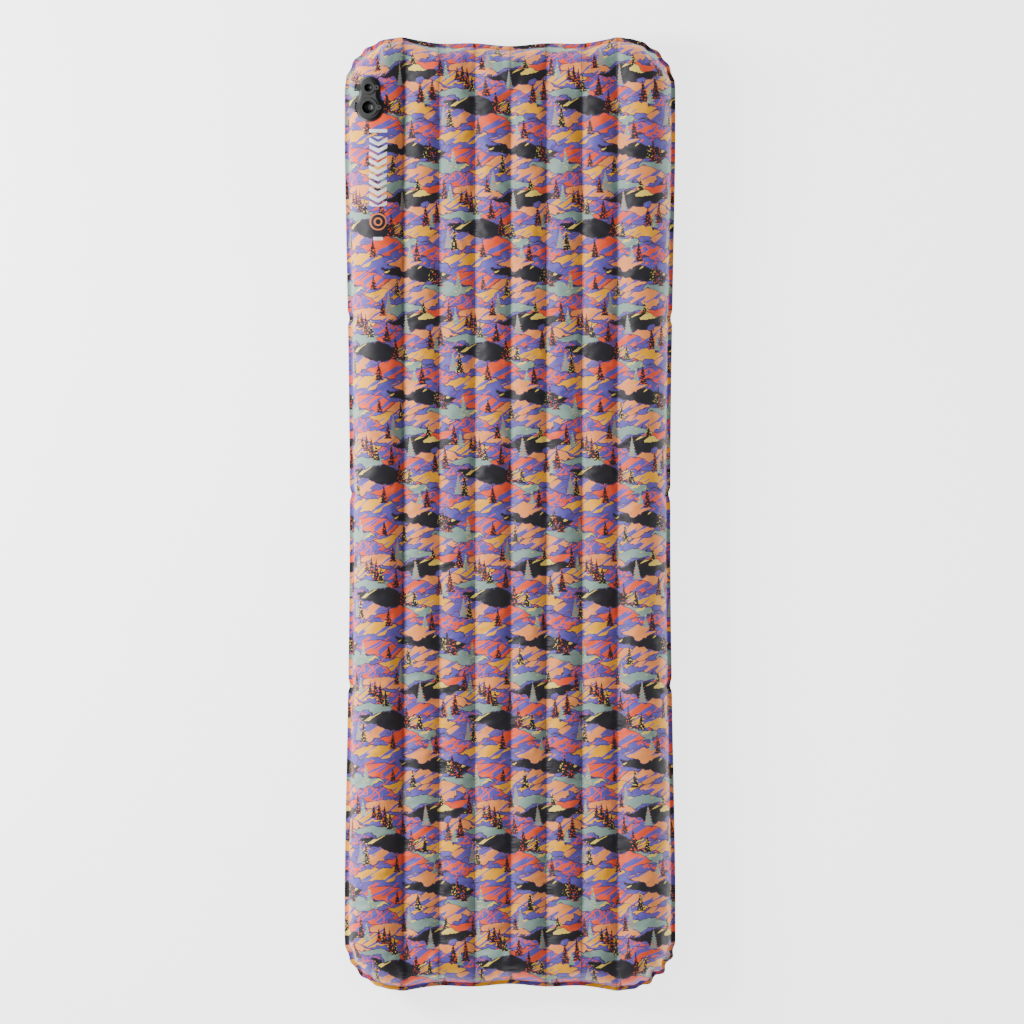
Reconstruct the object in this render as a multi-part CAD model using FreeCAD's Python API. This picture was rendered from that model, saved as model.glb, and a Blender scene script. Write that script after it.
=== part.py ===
"""Inflatable sleeping pad with welded I-beam chambers and a two-port valve. Millimetres.

Frame: +Z up, +Y towards the head end, the valve on the -X side. The origin is on the ground
under the middle of the pad. The pad is modelled about its weld plane, the level where the top
and bottom skins meet, and every piece is lifted to the ground at the end.
"""

import FreeCAD
import Part
import math
import os

V = FreeCAD.Vector

# ---- driving dimensions ------------------------------------------------------------------
pad_width = 635.0
pad_length = 1829.0
edge_weld_width = 8.0          # flat welded margin outside the chambers
corner_radius = 84.0           # of the chambers' outline, inside the edge weld
edge_chamber_width = 104.0     # each of the two large chambers along the sides
inner_chamber_count = 6
edge_chamber_height = 108.0
inner_chamber_height = 89.0
web_height = 62.0              # outside of skin to outside of skin at each web
web_weld_width = 4.0           # flat strip of skin that is welded to a web
ground_flat_depth = 0.5        # how far the edge chambers flatten where they rest
skin = 0.8
rim_land = 0.5                 # straight stretch of each skin next to the weld plane
edge_crown_rise = 1.0          # how far the edge chambers' inner arc would rise past the rim
edge_crown_inset = 47.5        # from the chambers' side to the middle of that arc

web_panel = 0.8
web_foot_width = 3.6
web_foot = 0.6
long_web_gap = 20.0            # air passage round the end of an odd web
short_web_gap = 85.0           # the same for an even web
web_end_scoop = 14.0           # how deep the hollow in a web's end is

film = 0.3
batting = 8.0
inner_lining_gap = 36.0        # from the ends of the film and batting to the end weld
edge_lining_gap = 92.0
edge_lining_inset = 4.0        # from the film and batting to the side weld

valve_from_head = 134.0        # inflate port to the end of the pad
valve_tilt = 16.0              # how far outboard of straight up the valve faces, degrees
base_skirt = 2.2
inflate_skirt_margin = 4.5     # from the valve body's side to the edge of its skirt
deflate_skirt_margin = 4.0
inflate_shoulder = 9.8         # from each port's wall to the valve body's side
deflate_shoulder = 8.8
waist_blend = 26.0
body_top = 4.2                 # height of the valve body's flat top above the skin
body_round = 2.4
body_root = 12.0               # how far the body is carried down before the skin cuts it off
collar_wall = 2.3
deflate_collar_depth = 12.0
skin_hole_clearance = 0.3
backing_thickness = 1.5
backing_margin = 2.0           # how much smaller than the skirt the backing ring is

plug_clearance = 0.2
inflate_plug_radius = 13.5
deflate_plug_radius = 9.0
inflate_plug_depth = 11.2
deflate_plug_depth = 9.0
swing_clearance = 0.15         # what the plugs' ends and seals leave as they swing out of the ports
plug_floor = 1.8
plug_wall = 1.7
bowl_roundness = 0.8           # the round at the foot of each cap's bowl, as a share of the foot's radius

nozzle_radius = 11.0
nozzle_seat_length = 6.5
nozzle_seat_gap = 0.5          # from the plug's end to the nozzle seat
button_room_margin = 1.0       # how much wider than the nozzle the room for the button is
button_room_length = 4.0
seat_ring_width = 3.5
seat_ring_shelf = 2.0          # how much wider than the nozzle the seat ring is
seat_ring_length = 2.5
seat_hub_radius = 2.6
seat_spoke_width = 1.6
seat_spoke_count = 4
flap_lap = 1.3                 # how far the flap overlaps the seat ring
flap_thickness = 1.0
stem_radius = 1.2
stem_clearance = 0.08
button_radius = 3.6
button_thickness = 1.0
button_travel = 2.2
button_stop_gap = 0.3

inflate_cap_rim = 5.2          # from each plug to its cap's edge
deflate_cap_rim = 5.0
cap_gap = 5.1                  # between the two caps
cap_thickness = 2.4
cap_edge_round = 0.8
cap_lip_width = 1.8
cap_lip_height = 0.7
tab_overhang = 3.3             # from a cap's edge to the middle of its pull tab's hole
tab_radius = 5.2
tab_hole_radius = 1.6
tab_blend = 4.0
seal_section = 0.5             # radius of each seal ring's round section
seal_depth = 2.0               # below the valve body's top

hinge_stand_off = 2.9          # from the inflate port's side of the body to both hinge axes
hinge_pin_radius = 1.0
hinge_clearance = 0.06
knuckle_wall = 0.94
inflate_strap_width = 12.0
deflate_strap_width = 6.5
strap_thickness = 2.0
strap_root = 2.4               # how far each strap runs into its cap
lug_width = 2.8
lug_side_gap = 0.4
lug_length = 4.0

# ---- values that follow from them --------------------------------------------------------
half_width = pad_width / 2 - edge_weld_width
half_length = pad_length / 2 - edge_weld_width
rim_height = edge_chamber_height / 2
crest = inner_chamber_height / 2
valley = web_height / 2
first_web = half_width - edge_chamber_width
pitch = 2 * first_web / inner_chamber_count
web_places = [-first_web + pitch * i for i in range(inner_chamber_count + 1)]
edge_crown = half_width - edge_crown_inset
ground = ground_flat_depth - rim_height
lift = V(0, 0, -ground)


# ---- small helpers -----------------------------------------------------------------------
def rounded_rectangle(half_x, half_y, radius, z):
    """A closed wire of four sides and four corner arcs."""
    edges = []
    for i, (sx, sy) in enumerate(((1, 1), (-1, 1), (-1, -1), (1, -1))):
        centre = V(sx * (half_x - radius), sy * (half_y - radius), z)
        start = math.pi / 2 * i
        angles = [start + math.pi / 4 * k for k in range(3)]
        turn = [centre + V(math.cos(a), math.sin(a), 0) * radius for a in angles]
        if edges:
            edges.append(Part.LineSegment(last, turn[0]).toShape())
        else:
            first = turn[0]
        edges.append(Part.Arc(*turn).toShape())
        last = turn[2]
    edges.append(Part.LineSegment(last, first).toShape())
    return Part.Wire(edges)


def prism(wire, height):
    return Part.Face(wire).extrude(V(0, 0, height))


def box(x0, x1, y0, y1, z0, z1):
    return Part.makeBox(x1 - x0, y1 - y0, z1 - z0, V(x0, y0, z0))


def rod(radius, z0, z1, x=0.0, y=0.0):
    return Part.makeCylinder(radius, z1 - z0, V(x, y, z0))


def cross_rod(radius, y0, y1, x, z):
    """A cylinder along Y."""
    return Part.makeCylinder(radius, y1 - y0, V(x, y0, z), V(0, 1, 0))


def two_lobes(big, small, reach, blend, z, along_x=False):
    """The outline round two discs, a distance reach apart, with a hollow arc on each side.

    The big disc is at the origin and the small one up +Y, or out +X if along_x is set.
    """
    to_big, to_small = big + blend, small + blend
    along = (reach ** 2 + to_big ** 2 - to_small ** 2) / (2 * reach)
    aside = math.sqrt(to_big ** 2 - along ** 2)

    def point(u, w):
        return V(w, u, z) if not along_x else V(u, -w, z)

    def between(centre_u, centre_w, radius, toward_u, toward_w):
        size = math.hypot(toward_u, toward_w)
        return point(centre_u + radius * toward_u / size, centre_w + radius * toward_w / size)

    right_big = between(0, 0, big, along, aside)
    left_big = between(0, 0, big, along, -aside)
    right_small = between(reach, 0, small, along - reach, aside)
    left_small = between(reach, 0, small, along - reach, -aside)
    middle = (big * along / to_big + reach + small * (along - reach) / to_small) / 2
    left_waist = between(along, -aside, blend, middle - along, aside)
    right_waist = between(along, aside, blend, middle - along, -aside)
    arcs = [(right_big, point(-big, 0), left_big), (left_big, left_waist, left_small),
            (left_small, point(reach + small, 0), right_small), (right_small, right_waist, right_big)]
    return Part.Wire([Part.Arc(*ends).toShape() for ends in arcs])


def line(a, b):
    return Part.LineSegment(V(a[0], 0, a[1]), V(b[0], 0, b[1])).toShape()


def arc(a, b, c):
    return Part.Arc(*[V(p[0], 0, p[1]) for p in (a, b, c)]).toShape()


def round_edges(shape, radius, wanted):
    """Fillets the edges for which wanted(edge) is true."""
    edges = [e for e in shape.Edges if wanted(e)]
    return shape.makeFillet(radius, edges)


def at_height(z, tolerance=0.01):
    return lambda e: abs(e.BoundBox.ZMin - z) < tolerance and abs(e.BoundBox.ZMax - z) < tolerance


# ---- the pad's envelope ------------------------------------------------------------------
def arc_over(x0, x1, foot_z, top_z):
    """(centre x, centre z, radius) of the arc from foot_z at x0 and x1 that rises to top_z."""
    half = (x1 - x0) / 2
    rise = top_z - foot_z
    radius = (half ** 2 + rise ** 2) / (2 * rise)
    return (x0 + x1) / 2, top_z - radius, radius


def scallops(inset):
    """The chambers' top outline across the pad, moved inwards by inset, as a prism along the pad."""
    flat = valley - inset
    half_weld = web_weld_width / 2
    arcs = [arc_over(a + half_weld, b - half_weld, valley, crest) for a, b in zip(web_places, web_places[1:])]
    crown_top = rim_height + edge_crown_rise
    crown = arc_over(first_web + half_weld, 2 * edge_crown - first_web - half_weld, valley, crown_top)
    arcs = [(-crown[0], crown[1], crown[2])] + arcs + [crown]

    def foot(centre, side):
        cx, cz, radius = centre
        return cx + side * math.sqrt((radius - inset) ** 2 - (flat - cz) ** 2)

    def top(centre):
        return centre[0], centre[1] + centre[2] - inset

    far = pad_width
    high = crown_top - inset
    edges = [line((-far, 0), (-far, high)), line((-far, high), top(arcs[0]))]
    for i, centre in enumerate(arcs):
        cx, cz, radius = centre
        begin = top(centre) if i == 0 else (foot(centre, -1), flat)
        end = top(centre) if i == len(arcs) - 1 else (foot(centre, 1), flat)
        if i:
            edges.append(line(last, begin))
        lean = math.atan2((begin[0] + end[0]) / 2 - cx, (begin[1] + end[1]) / 2 - cz)
        middle = (cx + (radius - inset) * math.sin(lean), cz + (radius - inset) * math.cos(lean))
        edges.append(arc(begin, middle, end))
        last = end
    edges += [line(last, (far, high)), line((far, high), (far, 0)), line((far, 0), (-far, 0))]
    face = Part.Face(Part.Wire(edges))
    face.translate(V(0, -pad_length, 0))
    return face.extrude(V(0, 2 * pad_length, 0))


def envelope(inset):
    """The upper half of the inflated pad, moved inwards by inset, from the weld plane up."""
    slab = prism(rounded_rectangle(half_width - inset, half_length - inset, corner_radius - inset, 0),
                 rim_height - inset)
    slab = round_edges(slab, rim_height - rim_land - inset, at_height(rim_height - inset))
    return slab.common(scallops(inset))


def upside_down(shape):
    return shape.mirror(V(0, 0, 0), V(0, 0, 1))


def edge_weld():
    """The flat welded margin of one skin."""
    outline = rounded_rectangle(pad_width / 2, pad_length / 2, corner_radius + edge_weld_width, 0)
    return prism(outline, skin)


def skins(outside, inside):
    top = outside.fuse(edge_weld()).cut(inside)
    floor_cut = box(-pad_width, pad_width, -pad_length, pad_length, -pad_length, ground)
    inner_floor_cut = box(-pad_width, pad_width, -pad_length, pad_length, -pad_length, ground + skin)
    lower_inside = upside_down(inside).cut(inner_floor_cut)
    bottom = upside_down(outside.fuse(edge_weld())).cut(floor_cut).cut(lower_inside)
    return top.removeSplitter(), bottom.removeSplitter()


# ---- what is inside the pad --------------------------------------------------------------
def web(index):
    """An I-beam: a panel with a welded foot along its top and its bottom."""
    x = web_places[index]
    reach = half_length - (short_web_gap if index % 2 else long_web_gap)
    top = valley - skin
    beam = box(x - web_panel / 2, x + web_panel / 2, -reach, reach, -top, top)
    scoop_radius = (top ** 2 + web_end_scoop ** 2) / (2 * web_end_scoop)
    for end in (-1, 1):
        middle = V(x - web_panel, end * (reach + scoop_radius - web_end_scoop), 0)
        beam = beam.cut(Part.makeCylinder(scoop_radius, 2 * web_panel, middle, V(1, 0, 0)))
    for z in (-top, top - web_foot):
        beam = beam.fuse(box(x - web_foot_width / 2, x + web_foot_width / 2, -reach, reach, z, z + web_foot))
    return beam.removeSplitter()


def lining(chamber, z0, z1):
    """One chamber's layer, from web to web."""
    edge_chambers = (0, inner_chamber_count + 1)
    reach = half_length - (edge_lining_gap if chamber in edge_chambers else inner_lining_gap)
    bounds = [-half_width + edge_lining_inset] + web_places + [half_width - edge_lining_inset]
    x0 = bounds[chamber] + (web_panel / 2 if chamber else 0)
    x1 = bounds[chamber + 1] - (web_panel / 2 if chamber <= inner_chamber_count else 0)
    return box(x0, x1, -reach, reach, z0, z1)


# ---- the valve, in its own frame: origin on the skin, +Z out of the port -------------------
inflate_bore = inflate_plug_radius + plug_clearance
deflate_bore = deflate_plug_radius + plug_clearance
inflate_body_radius = inflate_bore + inflate_shoulder
deflate_body_radius = deflate_bore + deflate_shoulder
inflate_skirt_radius = inflate_body_radius + inflate_skirt_margin
deflate_skirt_radius = deflate_body_radius + deflate_skirt_margin
inflate_cap_radius = inflate_plug_radius + inflate_cap_rim
deflate_cap_radius = deflate_plug_radius + deflate_cap_rim
port_pitch = inflate_cap_radius + cap_gap + deflate_cap_radius
nozzle_top = body_top - inflate_plug_depth - nozzle_seat_gap
nozzle_bottom = nozzle_top - nozzle_seat_length
button_room_radius = nozzle_radius + button_room_margin
button_room_bottom = nozzle_bottom - button_room_length
seat_bottom = button_room_bottom - seat_ring_length
seat_ring_radius = nozzle_radius + seat_ring_shelf
seat_ring_bore = seat_ring_radius - seat_ring_width
flap_radius = seat_ring_bore + flap_lap
inflate_collar_radius = max(inflate_bore, seat_ring_radius) + collar_wall
deflate_collar_radius = deflate_bore + collar_wall
stem_hole = stem_radius + stem_clearance
hinge_reach = inflate_body_radius + hinge_stand_off
hinge_height = body_top + strap_thickness / 2
seal_height = body_top - seal_depth
pin_hole = hinge_pin_radius + hinge_clearance
knuckle_radius = pin_hole + knuckle_wall


def swing_radius(bore, z):
    """The widest that a plug may be at height z, and still swing out past the far wall of its bore."""
    swing = hinge_reach + bore
    return math.sqrt(swing ** 2 - (hinge_height - z) ** 2) - hinge_reach - swing_clearance


def valve_place():
    tube_radius = rim_height - rim_land
    tube_middle = V(-(half_width - tube_radius), pad_length / 2 - valve_from_head, rim_land)
    turn = FreeCAD.Rotation(V(0, 1, 0), -valve_tilt)
    return FreeCAD.Placement(tube_middle + turn.multVec(V(0, 0, tube_radius)), turn)


def placed(shape):
    moved = shape.copy()
    moved.Placement = valve_place().multiply(moved.Placement)
    return moved


def lugs(y, strap_width, body_radius):
    """The two ears that hold a cap's hinge pin, on an arm out from the valve body."""
    ears = []
    for side in (-1, 1):
        inner = y + side * (strap_width / 2 + lug_side_gap)
        outer = inner + side * lug_width
        y0, y1 = min(inner, outer), max(inner, outer)
        ear = cross_rod(knuckle_radius, y0, y1, -hinge_reach, hinge_height)
        ear = ear.fuse(box(-hinge_reach - knuckle_radius, -hinge_reach + knuckle_radius, y0, y1,
                           body_top - lug_length, hinge_height))
        ear = ear.fuse(box(-hinge_reach, -body_radius + lug_length, y0, y1,
                           body_top - lug_length, body_top - body_round / 4))
        ears.append(ear)
    return ears[0].fuse(ears[1])


def valve_base(outside):
    tall = 2 * edge_chamber_height
    skirt_outline = two_lobes(inflate_skirt_radius, deflate_skirt_radius, port_pitch, waist_blend, -tall / 4)
    body_outline = two_lobes(inflate_body_radius, deflate_body_radius, port_pitch, waist_blend, -body_root)
    skirt = placed(prism(skirt_outline, tall / 2)).common(envelope(-base_skirt))
    body = prism(body_outline, body_root + body_top)
    body = round_edges(body, body_round, at_height(body_top))
    body = body.fuse(lugs(0, inflate_strap_width, inflate_body_radius))
    body = body.fuse(lugs(port_pitch, deflate_strap_width, deflate_body_radius))
    above_skin = placed(body).fuse(skirt).cut(outside)
    collars = rod(inflate_collar_radius, seat_bottom, 0)
    collars = collars.fuse(rod(deflate_collar_radius, -deflate_collar_depth, 0, 0, port_pitch))
    base = above_skin.fuse(placed(collars))
    bores = rod(inflate_bore, nozzle_top, tall)
    bores = bores.fuse(rod(nozzle_radius, nozzle_bottom, nozzle_top))
    bores = bores.fuse(rod(button_room_radius, button_room_bottom, nozzle_bottom))
    bores = bores.fuse(rod(seat_ring_radius, -tall, button_room_bottom))
    bores = bores.fuse(rod(deflate_bore, -tall, tall, 0, port_pitch))
    for y, width in ((0, inflate_strap_width), (port_pitch, deflate_strap_width)):
        reach = width / 2 + lug_side_gap + lug_width + 1
        bores = bores.fuse(cross_rod(pin_hole, y - reach, y + reach, -hinge_reach, hinge_height))
    return base.cut(placed(bores)).removeSplitter()


def port_holes(clearance):
    """Room for both collars through the skin and its backing."""
    tall = edge_chamber_height / 4
    hole = rod(inflate_collar_radius + clearance, -tall, tall)
    return hole.fuse(rod(deflate_collar_radius + clearance, -tall, tall, 0, port_pitch))


def backing_ring():
    """The weld ring on the inside of the top skin, round both collars."""
    tall = edge_chamber_height
    outline = two_lobes(inflate_skirt_radius - backing_margin, deflate_skirt_radius - backing_margin,
                        port_pitch, waist_blend, -tall / 2)
    layer = envelope(skin).cut(envelope(skin + backing_thickness))
    ring = placed(prism(outline, tall)).common(layer)
    return ring.cut(placed(port_holes(0)))


def check_valve_seat():
    """A ring with spokes that the flap closes against from below."""
    ring = rod(seat_ring_radius, seat_bottom, button_room_bottom).cut(
        rod(seat_ring_bore, seat_bottom, button_room_bottom))
    hub = rod(seat_hub_radius, seat_bottom, button_room_bottom)
    for i in range(seat_spoke_count):
        spoke_end = (seat_ring_bore + seat_ring_radius) / 2
        spoke = box(0, spoke_end, -seat_spoke_width / 2, seat_spoke_width / 2,
                    seat_bottom, button_room_bottom)
        spoke.rotate(V(0, 0, 0), V(0, 0, 1), 360 / seat_spoke_count * i)
        hub = hub.fuse(spoke)
    return ring.fuse(hub).cut(rod(stem_hole, seat_bottom, button_room_bottom)).removeSplitter()


def check_valve_flap():
    flap = rod(flap_radius, seat_bottom - flap_thickness, seat_bottom)
    flap = round_edges(flap, flap_thickness / 3, at_height(seat_bottom - flap_thickness))
    return flap.cut(rod(stem_radius, seat_bottom - flap_thickness, seat_bottom))


def check_valve_stem():
    """The stem through the flap, with the button that lets air out when it is pressed."""
    button_foot = button_room_bottom + button_travel + button_stop_gap
    stem = rod(stem_radius, seat_bottom - flap_thickness, button_foot)
    button = rod(button_radius, button_foot, button_foot + button_thickness)
    button = round_edges(button, button_thickness / 3, at_height(button_foot + button_thickness))
    return stem.fuse(button).removeSplitter()


def cone(foot_radius, top_radius, z0, z1):
    return Part.makeCone(foot_radius, top_radius, z1 - z0, V(0, 0, z0))


def cap(radius, plug_radius, plug_depth, strap_width):
    """A plug cap: a disc with a pull tab, a bowl-shaped plug, and a strap to its hinge knuckle."""
    top = body_top + cap_thickness
    plug_end = body_top - plug_depth
    end_radius = swing_radius(plug_radius + plug_clearance, plug_end)
    bowl = plug_radius - plug_wall
    bowl_foot = plug_end + plug_floor
    reach = radius + tab_overhang
    plate = prism(two_lobes(radius, tab_radius, reach, tab_blend, body_top, along_x=True), cap_thickness)
    plate = round_edges(plate, cap_edge_round, at_height(top))
    lip = rod(bowl + cap_lip_width, top - cap_thickness / 2, top + cap_lip_height)
    lip = round_edges(lip, cap_lip_height * 0.9, at_height(top + cap_lip_height))
    plug = cone(end_radius, plug_radius, plug_end, body_top)
    plug = round_edges(plug, plug_floor / 2, at_height(plug_end))
    strap = box(-hinge_reach, -radius + strap_root, -strap_width / 2, strap_width / 2,
                hinge_height - strap_thickness / 2, hinge_height + strap_thickness / 2)
    knuckle = cross_rod(knuckle_radius, -strap_width / 2, strap_width / 2, -hinge_reach, hinge_height)
    whole = plate.fuse(lip).fuse(plug).fuse(strap).fuse(knuckle)
    foot_radius = end_radius - plug_wall
    hollow = cone(foot_radius, bowl, bowl_foot, top)
    hollow = round_edges(hollow, foot_radius * bowl_roundness, at_height(bowl_foot))
    whole = whole.cut(hollow).cut(rod(bowl, top, top + 2 * cap_lip_height))
    whole = whole.cut(rod(tab_hole_radius, body_top - 1, top + 1, reach, 0))
    whole = whole.cut(cross_rod(pin_hole, -strap_width, strap_width, -hinge_reach, hinge_height))
    groove_low, groove_high = seal_height - seal_section, seal_height + seal_section
    groove = rod(plug_radius + 1, groove_low, groove_high)
    groove = groove.cut(rod(seal_ring_radius(plug_radius) - seal_section, groove_low, groove_high))
    return whole.cut(groove).removeSplitter()


def seal_ring_radius(plug_radius):
    """To the middle of the seal's section."""
    return swing_radius(plug_radius + plug_clearance, seal_height) - seal_section


def cap_seal(plug_radius):
    return Part.makeTorus(seal_ring_radius(plug_radius), seal_section, V(0, 0, seal_height))


def hinge_pin(y, strap_width):
    reach = strap_width / 2 + lug_side_gap + lug_width
    return cross_rod(hinge_pin_radius, y - reach, y + reach, -hinge_reach, hinge_height)


def moved_up(shape, y):
    shape.translate(V(0, y, 0))
    return shape


# ---- the assembly ------------------------------------------------------------------------
def valve_nodes(outside):
    inflate = (inflate_cap_radius, inflate_plug_radius, inflate_plug_depth, inflate_strap_width)
    deflate = (deflate_cap_radius, deflate_plug_radius, deflate_plug_depth, deflate_strap_width)
    own_frame = {
        "check_valve_seat": check_valve_seat(),
        "check_valve_flap": check_valve_flap(),
        "check_valve_stem": check_valve_stem(),
        "inflate_cap": cap(*inflate),
        "inflate_cap_seal": cap_seal(inflate_plug_radius),
        "inflate_hinge_pin": hinge_pin(0, inflate_strap_width),
        "deflate_cap": moved_up(cap(*deflate), port_pitch),
        "deflate_cap_seal": moved_up(cap_seal(deflate_plug_radius), port_pitch),
        "deflate_hinge_pin": hinge_pin(port_pitch, deflate_strap_width),
    }
    nodes = {name: placed(shape) for name, shape in own_frame.items()}
    nodes["valve_base"] = valve_base(outside)
    nodes["valve_backing_ring"] = backing_ring()
    return nodes


def pad_nodes(outside):
    top, bottom = skins(outside, envelope(skin))
    nodes = {"top_skin": top.cut(placed(port_holes(skin_hole_clearance))), "bottom_skin": bottom}
    for i in range(len(web_places)):
        nodes[f"web_{i + 1}"] = web(i)
    for i in range(inner_chamber_count + 2):
        nodes[f"reflective_film_{i + 1}"] = lining(i, -film / 2, film / 2)
        nodes[f"insulation_{i + 1}"] = lining(i, film / 2, film / 2 + batting)
    return nodes


def main():
    os.makedirs("parts", exist_ok=True)
    outside = envelope(0)
    nodes = {**pad_nodes(outside), **valve_nodes(outside)}
    for name, shape in nodes.items():
        shape.translate(lift)
        shape.exportStep(f"parts/{name}.step")
        print(f"{name:22s} solids {len(shape.Solids)} valid {shape.isValid()} volume {shape.Volume:12.1f}")
    port = valve_place()
    places = {"nozzle seat middle": V(0, 0, (nozzle_top + nozzle_bottom) / 2),
              "inflate hinge": V(-hinge_reach, 0, hinge_height),
              "deflate hinge": V(-hinge_reach, port_pitch, hinge_height)}
    for name, place in places.items():
        print(name, port.multVec(place) + lift)
    print("port axis", port.Rotation.multVec(V(0, 0, 1)))


main()
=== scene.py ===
import math

import bmesh
import bpy
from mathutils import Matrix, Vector, noise


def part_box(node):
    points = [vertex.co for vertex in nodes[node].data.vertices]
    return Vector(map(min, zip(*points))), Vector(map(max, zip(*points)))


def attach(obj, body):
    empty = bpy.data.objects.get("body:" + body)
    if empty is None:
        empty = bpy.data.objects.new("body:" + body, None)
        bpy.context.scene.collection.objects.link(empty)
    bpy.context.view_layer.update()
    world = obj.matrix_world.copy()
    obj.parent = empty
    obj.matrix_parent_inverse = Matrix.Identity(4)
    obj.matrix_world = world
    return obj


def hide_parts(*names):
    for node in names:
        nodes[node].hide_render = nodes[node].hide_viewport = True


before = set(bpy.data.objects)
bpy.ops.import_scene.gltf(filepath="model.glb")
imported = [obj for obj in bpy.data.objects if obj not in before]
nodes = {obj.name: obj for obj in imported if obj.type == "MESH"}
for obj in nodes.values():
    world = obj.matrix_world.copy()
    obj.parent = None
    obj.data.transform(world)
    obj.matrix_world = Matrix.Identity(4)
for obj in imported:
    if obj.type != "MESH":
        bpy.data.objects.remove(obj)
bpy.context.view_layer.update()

scene = bpy.context.scene

# ---------------------------------------------------------------- sizes of the pad, in metres

top_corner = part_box("top_skin")[1]
half_width = top_corner.x
half_length = top_corner.y
weld_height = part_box("bottom_skin")[1].z
valve_low, valve_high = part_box("valve_base")

weld_width = 0.008
fabric_thickness = 0.0008
corner_radius = 0.092

# The wide tubes along the sides
tube_radius = 0.0535
tube_rise = 0.054
tube_middle = 0.26
tube_over_seam = 0.0242

# The chambers between the seams. The long seams run nearly to the ends, the short ones stop before.
seam_stops = [-0.2055, -0.137, -0.0685, 0.0, 0.0685, 0.137, 0.2055]
long_seams = seam_stops[0::2]
long_seam_spacing = 0.137
last_seam = seam_stops[-1]
seam_rise = 0.031
crest_rise = 0.0445
wide_crest_rise = 0.0475
long_seam_gap = 0.024
long_web_gap = 0.026
short_seam_gap = {1: 0.096, -1: 0.078}

# How the outline is drawn in: the waist, the pinches along the sides, the ends and the corners
waist = 0.0096
waist_reach = 0.72
pinch_places = [0.376, 0.038, -0.328]
pinch_depth = 0.0058
pinch_width = 0.0065
pinch_reach = 0.034
end_dip = {1: 0.0125, -1: 0.0085}
end_dip_width = 0.214
end_reach = 0.16
end_peak = 0.0035
end_peak_width = 0.012
end_wave = 0.0022
end_wave_fade = 0.02
end_draw_in = 0.002
corner_start = (0.225, 0.81)
corner_fade = 0.05
corner_edge = 0.045
corner_draw_in = 0.003
corner_pucker = 0.0018
strong_corner_pucker = 0.0042
puckers_per_radian = 17

# The valve's ports: the middle of each and the radius of the hole in the fabric under it
inflate_port = Vector((-0.2707, 0.7805, 0.1054))
deflate_port = Vector((-0.2707, 0.8183, 0.1054))
inflate_hole = 0.019
deflate_hole = 0.0145

# The cloth simulation
top_spacing = 0.006
bottom_spacing = 0.010
air_pressure = 12
cloth_frames = 20
furthest_move = 0.009


def clamp(value, low=0.0, high=1.0):
    return min(max(value, low), high)


def smooth(value):
    value = clamp(value)
    return value * value * (3 - 2 * value)


def bell(distance, width):
    return math.exp(-((distance / width) ** 2))


def add_piece(name, shape):
    """Turns a finished bmesh into an object at the origin."""
    mesh = bpy.data.meshes.new(name)
    shape.to_mesh(mesh)
    shape.free()
    piece = bpy.data.objects.new(name, mesh)
    scene.collection.objects.link(piece)
    return piece


def grid_places(shape, columns, rows):
    """Adds a grid to an empty bmesh. Gives each vertex with its column and row number."""
    bmesh.ops.create_grid(shape, x_segments=len(columns) - 1, y_segments=len(rows) - 1, size=0.5)
    for vert in shape.verts:
        column = round((vert.co.x + 0.5) * (len(columns) - 1))
        row = round((vert.co.y + 0.5) * (len(rows) - 1))
        yield vert, column, row


# ---------------------------------------------------------------- shape of the fabric

def chamber_rise(x, seams, crest):
    """Height of the fabric over the weld plane in the chambers between these seams."""
    for left, right in zip(seams, seams[1:]):
        if left <= x <= right:
            half = (right - left) / 2
            sag = crest - seam_rise
            radius = (half * half + sag * sag) / (2 * sag)
            across = abs(x - (left + right) / 2)
            return crest - radius + math.sqrt(radius * radius - across * across)
    return seam_rise


def edge_tube_rise(x):
    """Height of the fabric over the two wide tubes along the sides."""
    across = (tube_middle - abs(x)) / (tube_middle - last_seam)
    if across <= 0:
        return tube_rise
    return min(tube_rise, seam_rise + tube_over_seam * math.sqrt(1 - clamp(across) ** 2.3))


def full_rise(x, y):
    """Height of the fabric away from the ends and sides."""
    if abs(x) >= last_seam:
        return edge_tube_rise(x)
    side = 1 if y > 0 else -1
    from_end = half_length - weld_width - abs(y)
    sewn = smooth((from_end - short_seam_gap[side] + 0.030) / 0.042)
    narrow = chamber_rise(x, seam_stops, crest_rise)
    wide = chamber_rise(x, long_seams, wide_crest_rise)
    return wide + (narrow - wide) * sewn


def weld_distance(x, y):
    """Distance in from the inner edge of the weld around the pad."""
    over_x = abs(x) - (half_width - corner_radius)
    over_y = abs(y) - (half_length - corner_radius)
    if over_x > 0 and over_y > 0:
        return corner_radius - math.hypot(over_x, over_y) - weld_width
    return min(half_width - abs(x), half_length - abs(y)) - weld_width


def corner_shift(x, y, inward):
    """How far the rounded corners pull in and ripple, along x and along y, away from the middle."""
    over_x = smooth((abs(x) - corner_start[0]) / corner_fade)
    over_y = smooth((abs(y) - corner_start[1]) / corner_fade)
    corner = over_x * over_y * clamp(1 - inward / corner_edge)
    turn = math.atan2(abs(y) - half_length + corner_radius, abs(x) - half_width + corner_radius)
    side = 1 if x > 0 else -1
    end = 1 if y > 0 else -1
    pucker = strong_corner_pucker if side > 0 and end < 0 else corner_pucker
    ripple = corner * pucker * math.sin(turn * puckers_per_radian + side + end * 2)
    return ripple * math.cos(turn), ripple * math.sin(turn), corner_draw_in * corner


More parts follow.
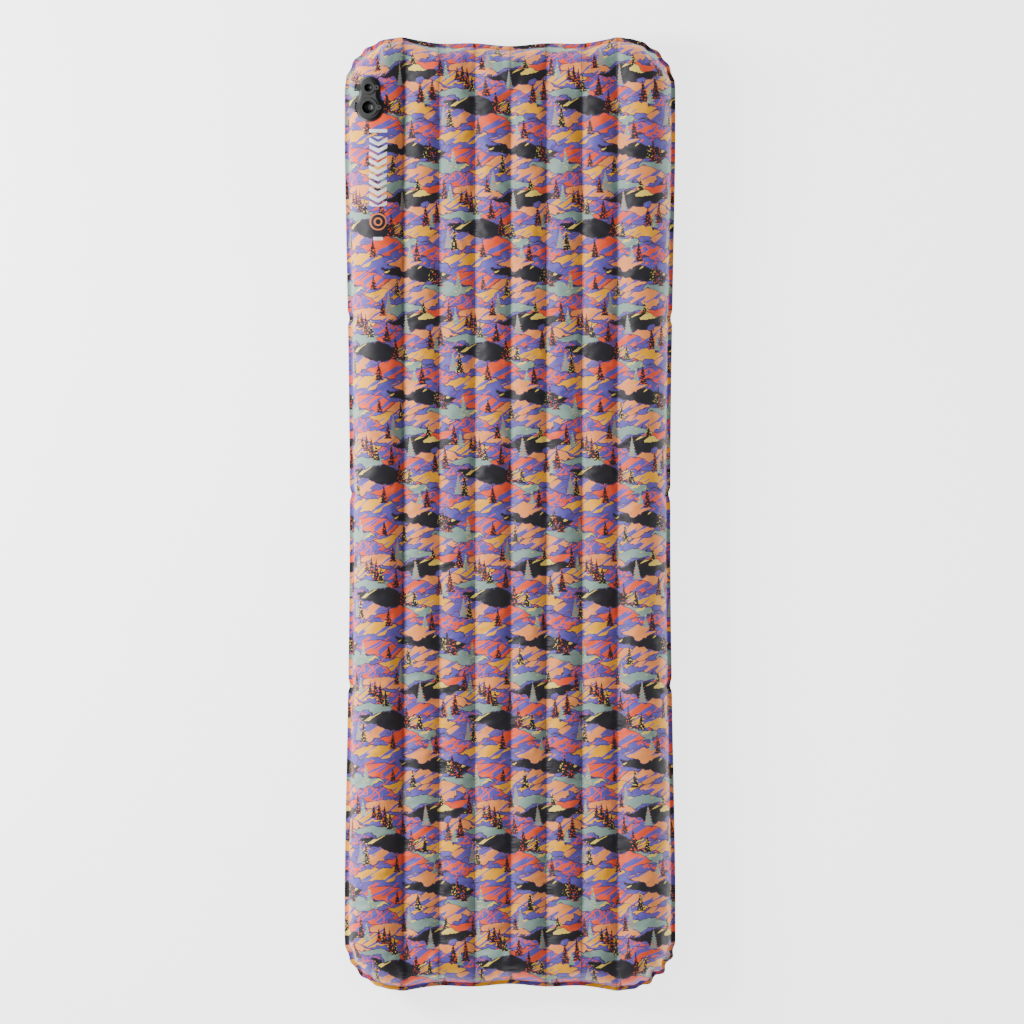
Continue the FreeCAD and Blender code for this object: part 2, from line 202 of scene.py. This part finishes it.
def outline_shift(x, y, inward):
    """How far the inflated fabric is drawn in at the waist, pinches, ends and corners."""
    side = 1 if x > 0 else -1
    end = 1 if y > 0 else -1
    outer = smooth((abs(x) - last_seam) / (half_width - last_seam))
    shift_x = -side * waist * outer * clamp(1 - (y / waist_reach) ** 2) ** 1.5
    near_side = clamp(1 - (half_width - abs(x)) / pinch_reach)
    for place in pinch_places:
        shift_x -= side * pinch_depth * near_side ** 2 * bell(y - place, pinch_width)
    near_end = smooth(1 - (half_length - abs(y)) / end_reach)
    middle = clamp(1 - (x / end_dip_width) ** 2)
    peak = end_peak * bell(abs(x) - last_seam, end_peak_width)
    wave = end_wave * math.cos(2 * math.pi * x / long_seam_spacing)
    wave *= clamp((last_seam - abs(x)) / end_wave_fade)
    shift_y = end * near_end * (-end_dip[end] * middle + peak - wave - end_draw_in)
    ripple_x, ripple_y, drawn_in = corner_shift(x, y, inward)
    return (
        shift_x - side * ripple_x - side * drawn_in,
        shift_y - end * ripple_y - end * drawn_in,
    )


def inflated(x, y, face):
    """The point of the upper (face 1) or lower (face -1) fabric over this place on the flat pad."""
    inward = weld_distance(x, y)
    rise = 0.0
    if inward > 0:
        reach = clamp(1 - inward / tube_radius)
        rise = full_rise(x, y) * math.sqrt(1 - reach * reach)
    shift_x, shift_y = outline_shift(x, y, inward)
    wave = noise.noise(Vector((x * 14, y * 14, 4.0)))
    wave += 0.4 * noise.noise(Vector((x * 32, y * 32, 9.0)))
    lift = 0.0022 * wave * clamp(1 - inward / 0.012)
    # The two welded layers lie on each other without crossing
    layer = fabric_thickness / 2 if face > 0 else 2.2 * fabric_thickness
    height = weld_height + lift + face * (rise + layer)
    return Vector((x + shift_x, y + shift_y, max(height, 0.0)))


def steps(start, end, spacing):
    """Even stops from start up to, but not including, end."""
    count = max(1, round(abs(end - start) / spacing))
    return [start + (end - start) * place / count for place in range(count)]


def edge_stops(spacing):
    """Distances in from the outer edge, closer together where the tube is steep."""
    stops = steps(0.0, weld_width, weld_width / 2)
    quarter = tube_radius * math.pi / 2
    stops += [
        weld_width + tube_radius * (1 - math.cos(length / tube_radius))
        for length in steps(0.0, quarter, spacing)
    ]
    return stops + steps(weld_width + tube_radius, corner_radius, spacing)


def stops_along(half, inner_stops, spacing):
    """Grid stops from one edge to the other: close at both edges, even between the inner stops."""
    ends = [half - distance for distance in edge_stops(spacing)]
    marks = [-(half - corner_radius), *inner_stops, half - corner_radius]
    middle = []
    for left, right in zip(marks, marks[1:]):
        middle += steps(left, right, spacing)
    return [-stop for stop in ends] + middle + [half - corner_radius] + ends[::-1]


def around_corner(x, y):
    """Turns the square corner of the grid into the pad's round corner, ring by ring."""
    inner_width = half_width - corner_radius
    inner_length = half_length - corner_radius
    over_x = (abs(x) - inner_width) / corner_radius
    over_y = (abs(y) - inner_length) / corner_radius
    if over_x <= 0 or over_y <= 0:
        return x, y
    ring = max(over_x, over_y)
    turn = math.pi / 4 * (over_y / over_x if over_x >= over_y else 2 - over_x / over_y)
    return (
        math.copysign(inner_width + corner_radius * ring * math.cos(turn), x),
        math.copysign(inner_length + corner_radius * ring * math.sin(turn), y),
    )


def lengths_along(stops, point_at):
    """Distance over the fabric from its middle to each stop, so that the print isn't stretched."""
    points = [point_at(stop) for stop in stops]
    lengths = [0.0]
    for near, far in zip(points, points[1:]):
        lengths.append(lengths[-1] + (far - near).length)
    middle = lengths[-1] / 2
    return [length - middle for length in lengths]


def nearest_stop(stops, wanted):
    return min(range(len(stops)), key=lambda place: abs(stops[place] - wanted))


def seam_closeness(x):
    """1 on a seam, fading to 0 a little way off it."""
    return bell(min(abs(x - seam) for seam in seam_stops), 0.016)


def fabric(name, face, spacing):
    """One sheet of fabric over the inflated shape, with a grid that runs along the seams.

    Gives the piece, the place of each vertex on the flat pad, and where the print meets the seams.
    """
    columns = stops_along(half_width, seam_stops, spacing)
    rows = stops_along(half_length, [0.0], spacing)
    across = lengths_along(columns, lambda x: inflated(x, 0.5, face))
    along = lengths_along(rows, lambda y: inflated(0.1, y, face))
    shape = bmesh.new()
    layer = shape.loops.layers.uv.new("fabric")
    print_places, flat_places = {}, {}
    for vert, column, row in grid_places(shape, columns, rows):
        x, y = around_corner(columns[column], rows[row])
        print_places[vert.index] = (across[column], along[row])
        flat_places[vert.index] = (x, y)
        vert.co = inflated(x, y, face)
    for part in shape.faces:
        for loop in part.loops:
            loop[layer].uv = print_places[loop.vert.index]
        part.smooth = True
    if face < 0:
        bmesh.ops.reverse_faces(shape, faces=shape.faces)
    lines = [across[nearest_stop(columns, seam)] for seam in seam_stops]
    return add_piece(name, shape), flat_places, lines


def seam_holds(x, y):
    """True where a web holds the fabric down."""
    from_end = half_length - weld_width - abs(y)
    end = 1 if y > 0 else -1
    for place, seam in enumerate(seam_stops):
        if abs(x - seam) < 1e-5:
            return from_end > (short_seam_gap[end] if place % 2 else long_seam_gap)
    return False


def valve_hold(x, y):
    """1 under the valve, fading to 0 a little way outside it."""
    outside = max(valve_low.x - x, x - valve_high.x, valve_low.y - y, y - valve_high.y)
    return clamp(1.25 - outside / 0.03)


def slacken(piece, flat_places, face):
    """Marks the held and the spare fabric in vertex groups, and crumples what is loose."""
    held = piece.vertex_groups.new(name="held")
    spare = piece.vertex_groups.new(name="spare")
    for number, (x, y) in flat_places.items():
        inward = weld_distance(x, y)
        kept = 1.0
        if inward > 0.0005 and not seam_holds(x, y):
            kept = valve_hold(x, y) * (face > 0)
        held.add([number], kept, "REPLACE")
        ends = clamp(1 - (half_length - abs(y)) / 0.13)
        sides = 0.35 * bell(inward, 0.02)
        spare.add([number], clamp(0.75 * seam_closeness(x) + ends + sides), "REPLACE")
        if kept < 0.5:
            crumple = noise.noise(Vector((x * 90, y * 60, 3.0 * face)))
            crumple += 0.8 * noise.noise(Vector((x * 45, y * 150, 8.0 * face)))
            lift = face * 0.0012 * crumple * clamp(inward / 0.02)
            piece.data.vertices[number].co.z += lift


def inflate(piece, flat_places, face):
    """Blows the fabric up with its seams held, so that the spare length puckers beside them."""
    mesh = piece.data
    start = [vert.co.copy() for vert in mesh.vertices]
    slacken(piece, flat_places, face)
    cloth = piece.modifiers.new("inflate", "CLOTH")
    settings = cloth.settings
    settings.vertex_group_mass = "held"
    settings.use_pressure = True
    settings.uniform_pressure_force = air_pressure
    settings.vertex_group_shrink = "spare"
    settings.shrink_min = -0.016
    settings.shrink_max = -0.11
    settings.mass = 0.1
    settings.quality = 5
    settings.bending_stiffness = 0.05
    settings.effector_weights.gravity = 0
    cloth.collision_settings.use_collision = False
    cloth.collision_settings.use_self_collision = False
    cloth.point_cache.frame_start = 1
    cloth.point_cache.frame_end = cloth_frames
    for number in range(1, cloth_frames + 1):
        scene.frame_set(number)
    blown = piece.evaluated_get(bpy.context.evaluated_depsgraph_get()).data
    moved = [vert.co.copy() for vert in blown.vertices]
    piece.modifiers.clear()
    scene.frame_set(1)
    for vert, before, after in zip(mesh.vertices, start, moved):
        step = after - before
        if step.length > furthest_move:
            step *= furthest_move / step.length
        vert.co = before + step
    piece.vertex_groups.clear()


def ridge(x, y, z):
    """Noise with sharp tops, like the folds of pulled fabric."""
    return (1 - abs(2 * noise.noise(Vector((x, y, z))))) ** 2 - 0.4


def seam_fold(across, y, seam):
    """Height of the small folds on both sides of a seam."""
    if abs(across) <= 1e-5:
        return 0.0
    side = 5 if across > 0 else 0
    reach = 0.015 + 0.012 * noise.noise(Vector((seam * 9, y * 7, side)))
    return 0.0027 * bell(across, reach) * ridge(across * 14, y * 46, seam * 40 + side)


def seam_fan(across, out, seam):
    """Height of the folds that fan out from the end of a short seam."""
    away = math.hypot(across, out)
    if not 0.004 < away < 0.11:
        return 0.0
    turn = math.atan2(across, out)
    fan = math.cos(turn * 7 + seam * 30) * math.exp(-away / 0.034) * clamp(away / 0.012)
    return 0.0034 * fan * clamp(0.6 + 0.5 * math.cos(turn))


def crease_height(x, y):
    """Fine folds beside the seams, at the ends of the short seams, and around the weld."""
    inward = weld_distance(x, y)
    end = 1 if y > 0 else -1
    height = 0.0
    for place, seam in enumerate(seam_stops):
        across = x - seam
        if abs(across) > 0.06:
            continue
        height += seam_fold(across, y, seam)
        if place % 2:
            out = end * y - (half_length - weld_width - short_seam_gap[end])
            height += seam_fan(across, out, seam)
    if abs(y) > half_length - 0.12:
        height += 0.0032 * bell(inward, 0.030) * ridge(x * 42, y * 9, 2.0 * end)
    if abs(x) > half_width - 0.08:
        height += 0.0026 * bell(inward, 0.020) * ridge(x * 9, y * 38, 6.0 if x > 0 else 7.0)
    return height * clamp(inward / 0.008)


def crease(piece, flat_places, face):
    """Adds the fine folds that are smaller than the simulation's grid can raise by itself."""
    for number, (x, y) in flat_places.items():
        vert = piece.data.vertices[number]
        loose = 1 - valve_hold(x, y) if face > 0 else 1
        vert.co.z = max(vert.co.z + face * loose * crease_height(x, y), 0.0)


def open_ports(piece):
    """Cuts the fabric away under the valve, inside the welded base."""
    shape = bmesh.new()
    shape.from_mesh(piece.data)
    gone = [
        part for part in shape.faces
        if (part.calc_center_median() - inflate_port).length < inflate_hole
        or (part.calc_center_median() - deflate_port).length < deflate_hole
    ]
    bmesh.ops.delete(shape, geom=gone, context="FACES")
    shape.to_mesh(piece.data)
    shape.free()


def finish_fabric(piece):
    """Smooths the grid and gives the fabric its thickness."""
    round_off = piece.modifiers.new("smooth", "SUBSURF")
    round_off.levels = 1
    round_off.render_levels = 1
    wall = piece.modifiers.new("wall", "SOLIDIFY")
    wall.thickness = fabric_thickness
    wall.offset = -1


def skin(name, face, spacing):
    """One finished sheet of the pad, and where the print meets its seams."""
    piece, flat_places, lines = fabric(name, face, spacing)
    inflate(piece, flat_places, face)
    crease(piece, flat_places, face)
    if face > 0:
        open_ports(piece)
    finish_fabric(piece)
    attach(piece, "pad")
    return piece, lines


top_fabric, seam_lines = skin("printed_top", 1, top_spacing)
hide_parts("top_skin")

bottom_fabric = skin("plain_underside", -1, bottom_spacing)[0]
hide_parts("bottom_skin")


# ---------------------------------------------------------------- webs, film and batting inside

def inner_sheet(name, node, columns, rows, place_at, thickness):
    """A sheet inside the pad that stands for one CAD node and clears the drawn-in fabric."""
    shape = bmesh.new()
    for vert, column, row in grid_places(shape, columns, rows):
        vert.co = place_at(columns[column], rows[row])
    bmesh.ops.recalc_face_normals(shape, faces=shape.faces)
    for part in shape.faces:
        part.smooth = True
    piece = add_piece(name, shape)
    wall = piece.modifiers.new("wall", "SOLIDIFY")
    wall.thickness = thickness
    wall.offset = 0
    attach(piece, "pad")
    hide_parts(node)
    return piece


def inner_web(number):
    """The upright strip of fabric under one seam, from the lower fabric to the upper."""
    seam = seam_stops[number - 1]
    foot_gap, head_gap = long_web_gap, long_web_gap
    if number % 2 == 0:
        foot_gap, head_gap = short_seam_gap[-1], short_seam_gap[1]
    start = -(half_length - weld_width - foot_gap)
    end = half_length - weld_width - head_gap

    def place_at(share, y):
        under, over = inflated(seam, y, -1), inflated(seam, y, 1)
        return under.lerp(over, 0.02 + 0.96 * share)

    rows = steps(start, end, 0.02) + [end]
    return inner_sheet(f"inner_web_{number}", f"web_{number}",
                       [0, 0.25, 0.5, 0.75, 1], rows, place_at, 0.0003)


def inner_layer(name, node, crown):
    """Film or batting between two webs, crowned a little and drawn in like the fabric."""
    low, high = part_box(node)
    thickness = high.z - low.z

    def place_at(x, y):
        shift_x, shift_y = outline_shift(x, y, weld_distance(x, y))
        across = (2 * x - low.x - high.x) / (high.x - low.x)
        lift = crown * (1 - across * across)
        return Vector((x + shift_x, y + shift_y, low.z + thickness / 2 + lift))

    columns = steps(low.x, high.x, 0.012) + [high.x]
    rows = steps(low.y, high.y, 0.03) + [high.y]
    return inner_sheet(name, node, columns, rows, place_at, thickness)


inner_webs = [inner_web(number) for number in range(1, 8)]
inner_film = [
    inner_layer(f"heat_film_{number}", f"reflective_film_{number}", 0.0005)
    for number in range(1, 9)
]
inner_batting = [
    inner_layer(f"soft_batting_{number}", f"insulation_{number}", 0.003)
    for number in range(1, 9)
]


# ---------------------------------------------------------------- material helpers

class Amount:
    """One number that varies over a surface. Sums and comparisons of amounts add Math nodes."""

    def __init__(self, socket):
        self.socket = socket

    def maths(self, operation, *others):
        return Amount.of(self.socket.id_data, operation, self, *others)

    @staticmethod
    def of(tree, operation, *terms):
        node = tree.nodes.new("ShaderNodeMath")
        node.operation = operation
        for place, term in zip(node.inputs, terms):
            if isinstance(term, Amount):
                tree.links.new(term.socket, place)
            else:
                place.default_value = term
        return Amount(node.outputs[0])

    def __add__(self, other):
        return self.maths("ADD", other)

    def __sub__(self, other):
        return self.maths("SUBTRACT", other)

    def __rsub__(self, other):
        return Amount.of(self.socket.id_data, "SUBTRACT", other, self)

    def __mul__(self, other):
        return self.maths("MULTIPLY", other)

    __rmul__ = __mul__

    def __gt__(self, other):
        return self.maths("GREATER_THAN", other)

    def __lt__(self, other):
        return self.maths("LESS_THAN", other)

    def __abs__(self):
        return self.maths("ABSOLUTE")

    def least(self, other):
        return self.maths("MINIMUM", other)

    def most(self, other):
        return self.maths("MAXIMUM", other)

    def wrap(self, half):
        return self.maths("WRAP", half, -half)

    def times_plus(self, factor, added):
        return self.maths("MULTIPLY_ADD", factor, added)


class Finish:
    """A material under construction, with its main shader at hand."""

    def __init__(self, name, **constants):
        self.material = bpy.data.materials.new(name)
        self.material.use_nodes = True
        self.tree = self.material.node_tree
        self.shader = self.tree.nodes["Principled BSDF"]
        for socket, value in constants.items():
            self.shader.inputs[socket.replace("_", " ")].default_value = value

    def add(self, kind, settings=None, **inputs):
        """Adds a node: its settings first, then values or links into its sockets."""
        node = self.tree.nodes.new("ShaderNode" + kind)
        for setting, value in (settings or {}).items():
            setattr(node, setting, value)
        for socket, value in inputs.items():
            self.feed(node.inputs[socket.replace("_", " ")], value)
        return node

    def feed(self, place, value):
        if isinstance(value, Amount):
            value = value.socket
        if isinstance(value, bpy.types.NodeSocket):
            self.tree.links.new(value, place)
        else:
            place.default_value = value

    def mix(self, factor, first, second):
        """Second colour over the first where the factor is 1."""
        node = self.add("Mix", {"data_type": "RGBA"})
        for place, value in ((0, factor), (6, first), (7, second)):
            self.feed(node.inputs[place], value)
        return node.outputs[2]

    def split(self, vector):
        node = self.add("SeparateXYZ", Vector=vector)
        return [Amount(socket) for socket in node.outputs]

    def join(self, x, y, z=0.0):
        return self.add("CombineXYZ", X=x, Y=y, Z=z).outputs[0]

    def grain(self, vector, scale, detail):
        """Noise in three dimensions, from 0 to 1."""
        node = self.add("TexNoise", Vector=vector, Scale=scale, Detail=detail, Roughness=0.5)
        return Amount(node.outputs[0])

    def object_place(self):
        return self.add("TexCoord").outputs["Object"]

    def bump(self, height, strength, distance):
        node = self.add("Bump", Height=height, Strength=strength, Distance=distance)
        self.paint(Normal=node.outputs[0])

    def paint(self, **sockets):
        for socket, value in sockets.items():
            self.feed(self.shader.inputs[socket.replace("_", " ")], value)


def tone(red, green, blue):
    """A colour from its 0 to 255 values as they look on a screen."""
    return tuple(((part / 255 + 0.055) / 1.055) ** 2.4 if part > 10 else part / 3294.6
                 for part in (red, green, blue)) + (1.0,)


# ---------------------------------------------------------------- the printed fabric

purple = tone(97, 84, 176)
deep_purple = tone(82, 71, 162)
light_orange = tone(255, 154, 80)
coral = tone(250, 86, 42)
amber = tone(255, 176, 20)
sage = tone(134, 160, 150)
soot = tone(31, 29, 35)
straw = tone(248, 214, 92)
outline_tone = tone(70, 52, 84)
mark_white = tone(240, 240, 240)
mark_orange = tone(214, 120, 70)
worn_tone = tone(60, 50, 80)
# Painted shade: the dark colour laid along the seam valleys, where shade falls
painted_seam_shadow_tone = tone(30, 22, 44)

# The print repeats after this many millimetres, and each row of repeats stands a little aside
tile = 236.0
print_slant = 0.042
outline_width = 0.75
threads_per_mm = 2.9

# In millimetres: x and y of the middle, half width, rise, depth. Then tilt, colour and drawing.
hills = [
    (60, 226, 82, 18, 13, -0.10, soot, "dashes"),
    (182, 214, 56, 17, 13, -0.08, coral, "slashes"),
    (24, 204, 50, 14, 13, 0.10, light_orange, "slashes"),
    (124, 196, 60, 12, 10, -0.05, sage, "dashes"),
    (216, 184, 48, 14, 11, 0.10, amber, "slashes"),
    (74, 180, 58, 15, 15, -0.04, light_orange, "slashes"),
    (160, 170, 50, 15, 13, 0.06, coral, "branches"),
    (18, 158, 58, 12, 9, 0.04, sage, "dashes"),
    (108, 150, 54, 14, 12, 0.10, coral, "slashes"),
    (196, 146, 58, 16, 14, -0.10, light_orange, "slashes"),
    (52, 132, 80, 18, 13, 0.08, soot, "dashes"),
    (150, 126, 52, 13, 11, 0.05, amber, "slashes"),
    (222, 118, 44, 14, 12, 0.05, coral, "branches"),
    (88, 108, 60, 15, 14, 0.04, light_orange, "slashes"),
    (168, 100, 60, 12, 9, -0.06, sage, "dashes"),
    (20, 98, 54, 16, 13, -0.05, coral, "slashes"),
    (116, 82, 52, 14, 12, 0.08, coral, "branches"),
    (208, 74, 84, 18, 13, -0.08, soot, "dashes"),
    (54, 70, 54, 13, 11, 0.02, amber, "slashes"),
    (144, 56, 60, 16, 14, -0.04, light_orange, "slashes"),
    (22, 48, 60, 12, 9, 0.06, sage, "dashes"),
    (222, 42, 48, 15, 12, 0.05, coral, "slashes"),
    (90, 30, 58, 15, 13, -0.08, coral, "branches"),
    (168, 18, 58, 14, 11, 0.08, amber, "slashes"),
    (30, 12, 46, 14, 12, 0.00, light_orange, "slashes"),
]

# In millimetres: x and y of the foot, height, width. Then colour of the branches and the flecks.
trees = [
    (96, 206, 44, 13, soot, coral),
    (108, 202, 34, 11, soot, coral),
    (146, 190, 40, 12, sage, straw),
    (12, 184, 38, 12, soot, straw),
    (200, 196, 30, 10, soot, coral),
    (228, 150, 42, 13, sage, coral),
    (216, 146, 34, 11, soot, coral),
    (70, 150, 26, 9, soot, straw),
    (126, 134, 42, 13, soot, coral),
    (138, 130, 32, 10, sage, straw),
    (34, 112, 40, 12, sage, coral),
    (180, 108, 44, 12, soot, coral),
    (190, 104, 34, 11, soot, straw),
    (82, 84, 40, 13, soot, coral),
    (94, 80, 30, 10, sage, straw),
    (4, 64, 44, 13, soot, coral),
    (130, 40, 38, 12, sage, coral),
    (142, 36, 44, 12, soot, straw),
    (202, 22, 36, 12, soot, coral),
    (62, 14, 40, 12, soot, coral),
    (48, 20, 24, 9, sage, straw),
    (88, 212, 28, 10, soot, straw),
    (170, 122, 34, 11, soot, coral),
    (160, 126, 26, 9, soot, coral),
    (222, 96, 40, 12, soot, coral),
    (30, 60, 34, 11, soot, straw),
    (106, 88, 46, 13, soot, coral),
]


def ring_noise(finish, across, along, detail, roughness):
    """Noise that meets itself at every side of the print's repeat. Gives its three channels."""
    place = finish.join(across.maths("COSINE"), across.maths("SINE"), along.maths("COSINE"))
    node = finish.add("TexNoise", {"noise_dimensions": "4D"}, Vector=place, W=along.maths("SINE"),
                      Scale=1.7, Detail=detail, Roughness=roughness)
    channels = finish.add("SeparateColor", Color=node.outputs["Color"])
    return [Amount(socket) for socket in channels.outputs]


def landscape(finish, x, y):
    """Rolling hills, slashes of light and conifers, in millimetres, repeating every tile."""
    circle = 2 * math.pi / tile
    rough = ring_noise(finish, x * circle, y * circle, 2.0, 0.5)
    slant = ring_noise(finish, (2 * y - x) * circle, (x - y) * circle, 1.0, 0.45)
    fine = finish.grain(finish.join(x, y), 0.30, 1.0)
    crest_shift = (rough[0] - 0.5) * 30
    foot_shift = (rough[1] - 0.5) * 40
    slash = slant[0] > 0.56
    short_slash = slant[1] > 0.56
    branch = (abs(slant[2] - 0.5) < 0.035).most(abs(rough[2] - 0.5) < 0.016)
    colour = finish.mix(rough[1] > 0.56, purple, deep_purple)
    colour = finish.mix((slant[1] > 0.61) * (rough[0] > 0.46), colour, coral)
    for middle_x, middle_y, half, rise, depth, tilt, fill, drawing in hills:
        from_x = (x - middle_x).wrap(tile / 2)
        from_y = (y - middle_y).wrap(tile / 2)
        share = from_x * (1 / half)
        arch = 1 - share * share
        level = from_x * tilt - from_y
        below_crest = arch.times_plus(rise, crest_shift) + level
        above_foot = arch.times_plus(depth, foot_shift) - level
        inside = below_crest.least(above_foot)
        filled = finish.mix(inside > 0, colour, fill)
        colour = finish.mix(abs(inside) < outline_width, filled, outline_tone)
        if drawing == "slashes":
            colour = finish.mix(slash * (inside > 1.0), colour, purple)
        elif drawing == "dashes":
            colour = finish.mix(short_slash * (inside > 1.0) * (below_crest < 9), colour, straw)
        else:
            colour = finish.mix((inside > 1.0) * (1 - branch), colour, purple)
    fleck = fine > 0.61
    bristle = (fine - 0.5) * 5
    for foot_x, foot_y, height, width, fill, spots in trees:
        from_x = abs((x - foot_x).wrap(tile / 2))
        from_y = (y - foot_y).wrap(tile / 2)
        boughs = (from_y * 0.19).maths("FRACT").times_plus(-0.55, 1.2)
        widest = 0.7 * width
        spread = from_y.times_plus(-widest / height, widest) * boughs
        inside = (spread - from_x + bristle).least(from_y)
        colour = finish.mix(inside > 0, colour, finish.mix(fleck, fill, spots))
    return colour


def printed_fabric():
    """The landscape and the marks, with the weave, the folds and painted shade darkening the seams.
    """
    finish = Finish("printed_fabric", Specular_IOR_Level=0.35, Sheen_Weight=0.12,
                    Sheen_Roughness=0.4)
    place = finish.add("UVMap", {"uv_map": "fabric"}).outputs[0]
    u, v, _ = finish.split(place)
    across, along = u * 1000, v * 1000
    colour = landscape(finish, across + along * print_slant, along)
    colour = trail_marks(finish, colour, across, along)
    worn = finish.grain(place, 9, 3.0)
    colour = finish.mix((worn - 0.4) * 0.16, colour, worn_tone)
    weave = (across * threads_per_mm).maths("SINE") * (along * threads_per_mm).maths("SINE")
    creases = finish.grain(finish.join(u * 30, v * 70), 1.0, 2.0)
    gathers = finish.grain(finish.join(u * 24, v * 190), 1.0, 1.0)
    from_seam = abs(u - seam_lines[0])
    for line in seam_lines[1:]:
        from_seam = from_seam.least(abs(u - line))
    beside_seam = (1 - from_seam * 55).most(0.0)
    # Painted shade: the colour darkens towards each seam, narrow and strong at the valley, with a
    # wider soft edge
    painted_seam_shade = ((1 - from_seam * 480) * 0.75).most((1 - from_seam * 110) * 0.35).most(0.0)
    colour = finish.mix(painted_seam_shade, colour, painted_seam_shadow_tone)
    finish.bump(creases * 0.7 + gathers * beside_seam * 2.2 + weave * 0.03, 0.9, 0.0016)
    finish.paint(Base_Color=colour, Roughness=worn.times_plus(0.18, 0.46))
    return finish.material


def trail_marks(finish, colour, x, y):
    """White chevrons, a bar above them and a plain ring below, down the tube beside the valve."""
    middle, top, half_mark = -281.0, 742.0, 16.5
    chevron_pitch, ring_down = 13.5, 180
    from_x = abs(x - middle)
    down = top - y
    chevron = ((down + from_x * 0.55) * (1 / chevron_pitch)).maths("FRACT") < 0.56
    chevrons = chevron * (from_x < half_mark) * (down > 16) * (down < 150)
    bar = (from_x < half_mark) * (abs(down - 5) < 3.2)
    foot_bar = (from_x < 9) * (abs(down - 212) < 3.0)
    colour = finish.mix(chevrons.most(bar).most(foot_bar), colour, mark_white)
    below = down - ring_down
    radius = (from_x * from_x + below * below).maths("SQRT")
    colour = finish.mix(radius < half_mark, colour, mark_orange)
    colour = finish.mix(radius < 13.5, colour, soot)
    return finish.mix(abs(radius - 6.5) < 1.6, colour, mark_orange)


def woven(name, dark, light, rough, threads=2600, **constants):
    """Plain woven or coated cloth."""
    finish = Finish(name, **constants)
    place = finish.object_place()
    x, y, _ = finish.split(place)
    patches = finish.grain(place, 14, 4.0)
    weave = (x * threads).maths("SINE") * (y * threads).maths("SINE")
    colour = finish.mix(patches, dark, light)
    finish.bump(weave * 0.1 + patches, 0.3, 0.001)
    finish.paint(Base_Color=colour, Roughness=patches.times_plus(0.25, rough))
    return finish.material


def moulded(name, dark, light, rough, grain=900, **constants):
    """Moulded plastic, rubber or metal with a fine grain and a little handling wear."""
    finish = Finish(name, **constants)
    place = finish.object_place()
    speckle = finish.grain(place, grain, 2.0)
    patches = finish.grain(place, 60, 3.0)
    colour = finish.mix(patches, dark, light)
    finish.bump(speckle, 0.12, 0.0002)
    finish.paint(Base_Color=colour, Roughness=patches.times_plus(0.2, rough))
    return finish.material


def dress(material, *names):
    """Gives CAD nodes a material."""
    for name in names:
        for slot in nodes[name].material_slots:
            slot.material = material


def cover(material, pieces):
    """Gives pieces made here a material."""
    for piece in pieces:
        piece.data.materials.append(material)


cover(printed_fabric(), [top_fabric])
cover(woven("charcoal_underside", tone(36, 38, 43), tone(46, 48, 54), 0.6, Sheen_Weight=0.15),
      [bottom_fabric])

dress(moulded("black_valve_plastic", tone(11, 12, 14), tone(17, 18, 20), 0.3,
              Specular_IOR_Level=0.36),
      "valve_base", "inflate_cap", "deflate_cap")
dress(moulded("valve_inner_plastic", tone(50, 52, 56), tone(62, 64, 68), 0.45),
      "valve_backing_ring", "check_valve_seat")
dress(moulded("clear_silicone", tone(196, 198, 196), tone(214, 216, 212), 0.4, grain=500),
      "check_valve_flap")
dress(moulded("orange_button", tone(226, 104, 52), tone(238, 120, 66), 0.4), "check_valve_stem")
dress(moulded("seal_rubber", tone(30, 30, 32), tone(40, 40, 42), 0.6),
      "inflate_cap_seal", "deflate_cap_seal")
dress(moulded("bright_pin", tone(178, 180, 184), tone(200, 202, 206), 0.28, Metallic=1.0),
      "inflate_hinge_pin", "deflate_hinge_pin")
cover(woven("web_fabric", tone(200, 198, 206), tone(222, 220, 226), 0.6), inner_webs)
cover(woven("silver_film", tone(186, 190, 196), tone(216, 220, 224), 0.25, threads=900,
            Metallic=0.8),
      inner_film)
cover(woven("white_batting", tone(226, 226, 222), tone(240, 240, 238), 0.8, threads=500),
      inner_batting)


# ---------------------------------------------------------------- floor, light and camera

def studio_floor():
    """A pale floor that glows enough to look nearly white."""
    shape = bmesh.new()
    bmesh.ops.create_grid(shape, x_segments=8, y_segments=8, size=6.0)
    bmesh.ops.translate(shape, verts=shape.verts, vec=(0, 0, -0.0006))
    floor = add_piece("floor", shape)
    finish = Finish("pale_floor", Roughness=0.9, Emission_Strength=2.6)
    shade = finish.grain(finish.object_place(), 2.0, 2.0)
    pale = finish.mix(shade, tone(250, 250, 250), tone(255, 255, 255))
    finish.paint(Base_Color=pale, Emission_Color=pale)
    cover(finish.material, [floor])


def studio_light(name, place, aim, size, power):
    light = bpy.data.lights.new(name, "AREA")
    light.size = size
    light.energy = power
    lamp = bpy.data.objects.new(name, light)
    lamp.location = place
    lamp.rotation_euler = (Vector(aim) - Vector(place)).to_track_quat("-Z", "Y").to_euler()
    scene.collection.objects.link(lamp)


studio_floor()
studio_light("key", (-2.8, 0.7, 1.7), (0, 0, 0), 1.2, 185)
studio_light("fill", (2.4, -0.6, 2.6), (0, 0, 0), 2.4, 15)

world = bpy.data.worlds.new("studio")
world.use_nodes = True
backdrop = world.node_tree.nodes["Background"].inputs
backdrop["Color"].default_value = (1, 1, 1, 1)
backdrop["Strength"].default_value = 0.4
scene.world = world

lens = bpy.data.cameras.new("view")
lens.type = "ORTHO"
lens.ortho_scale = 1.965
camera = bpy.data.objects.new("view", lens)
camera.location = (0.0038, 0.0038, 3.0)
scene.collection.objects.link(camera)
scene.camera = camera
